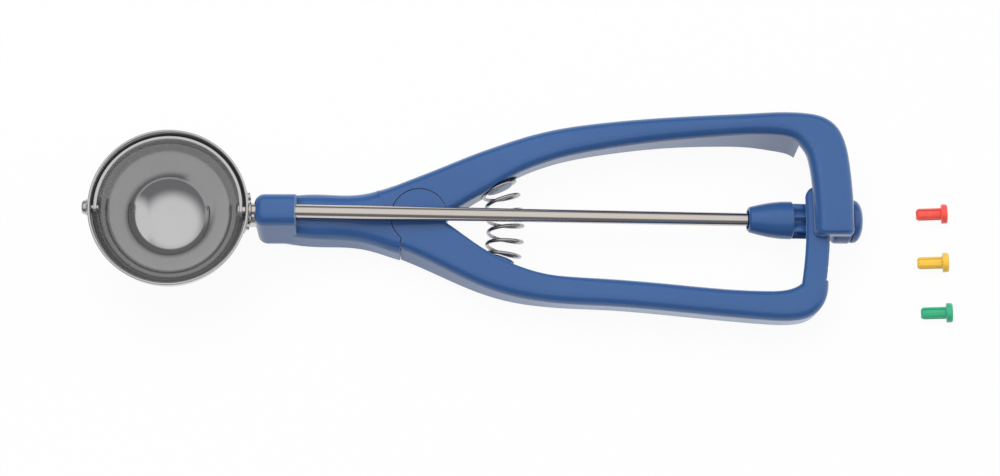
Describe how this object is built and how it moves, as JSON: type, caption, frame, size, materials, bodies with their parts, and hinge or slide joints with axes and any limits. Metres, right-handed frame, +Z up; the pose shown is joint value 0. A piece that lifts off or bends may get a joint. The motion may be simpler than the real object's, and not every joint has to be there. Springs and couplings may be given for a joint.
{
  "type": "lever ice cream scoop",
  "caption": "Ice cream scoop with sprung plastic grips: squeezing them turns a scraper strip inside the steel bowl through a rack, a pinion and a long rod.",
  "frame": {"origin": "middle of the outline of the scoop and its three plugs, on the table", "axes": "+X from the bowl to the rear arm, +Z up, the scoop lying on its bowl and its grips"},
  "size_m": [0.2566, 0.0624, 0.0272],
  "materials": {
    "polished_steel": "polished",
    "satin_steel": "satin",
    "spring_steel": "bright drawn",
    "blue_plastic": "satin gloss moulding",
    "washer_plastic": "plain",
    "red_plastic": "satin",
    "yellow_plastic": "satin",
    "green_plastic": "satin"
  },
  "bodies": {
    "handle": {"fixed_handle": "blue_plastic", "bowl": "polished_steel", "bowl_shank": "satin_steel", "saddle_rivets": "satin_steel", "front_pin": "satin_steel", "front_washer": "satin_steel", "rear_cap": "blue_plastic", "pivot_pin": "satin_steel", "pivot_washer": "washer_plastic", "pivot_clip": "spring_steel", "handle_spring": "spring_steel", "plug_red": "red_plastic", "plug_yellow": "yellow_plastic", "plug_green": "green_plastic"},
    "lever": {"lever_handle": "blue_plastic", "pivot_cap": "blue_plastic"},
    "drive": {"drive_rod": "satin_steel", "rod_washer": "satin_steel", "scraper_blade": "polished_steel", "drive_pinion": "blue_plastic"}
  },
  "joints": [
    {"name": "lever_hinge", "type": "hinge", "parent": "handle", "child": "lever", "pos_m": [-0.03046, 0.00015, 0.008], "axis": [0, 0, 1], "range_deg": [0, 6.25], "stiffness_Nm_per_rad": 3, "springref_deg": -5.73, "deforming": ["handle_spring"]},
    {"name": "rod_spin", "type": "hinge", "parent": "handle", "child": "drive", "pos_m": [-0.00358, 0.00015, 0.01478], "axis": [0.9968, 0, -0.0802], "range_deg": [-175, 0]}
  ],
  "couplings": [
    {"joint": "rod_spin", "follows": "lever_hinge", "ratio": -28}
  ]
}
